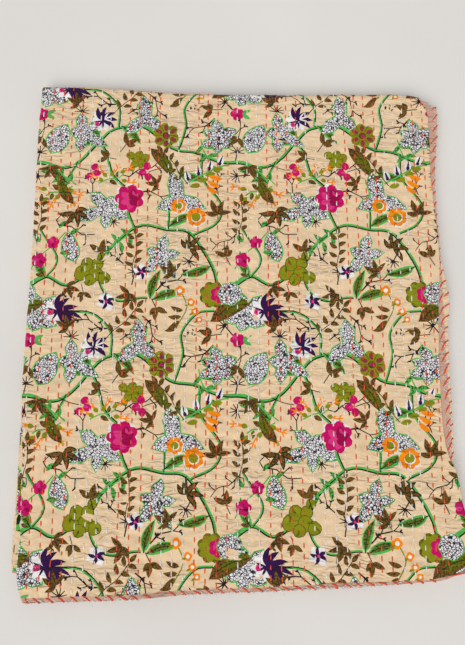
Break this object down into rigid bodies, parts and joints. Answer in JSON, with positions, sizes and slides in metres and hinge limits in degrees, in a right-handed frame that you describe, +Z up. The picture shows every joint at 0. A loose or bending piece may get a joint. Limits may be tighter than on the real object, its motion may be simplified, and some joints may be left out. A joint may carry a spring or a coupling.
{
  "type": "folded kantha quilt",
  "caption": "Printed cotton quilt with rows of running stitches, folded in quarters both ways and lying flat",
  "frame": {"origin": "under the middle of the folded quilt's bounding box, on the surface that it lies on", "axes": "+X across the folded quilt, +Y along its length from the hemmed end to the outer folds, +Z up"},
  "size_m": [0.606, 0.714, 0.0253],
  "materials": {
    "printed_cotton": "plain woven cotton, tan ground with an all-over print of vines, leaves and flowers, crinkled by rows of running stitches in red and white thread"
  },
  "bodies": {
    "root": {"quilt": "printed_cotton"}
  },
  "joints": []
}
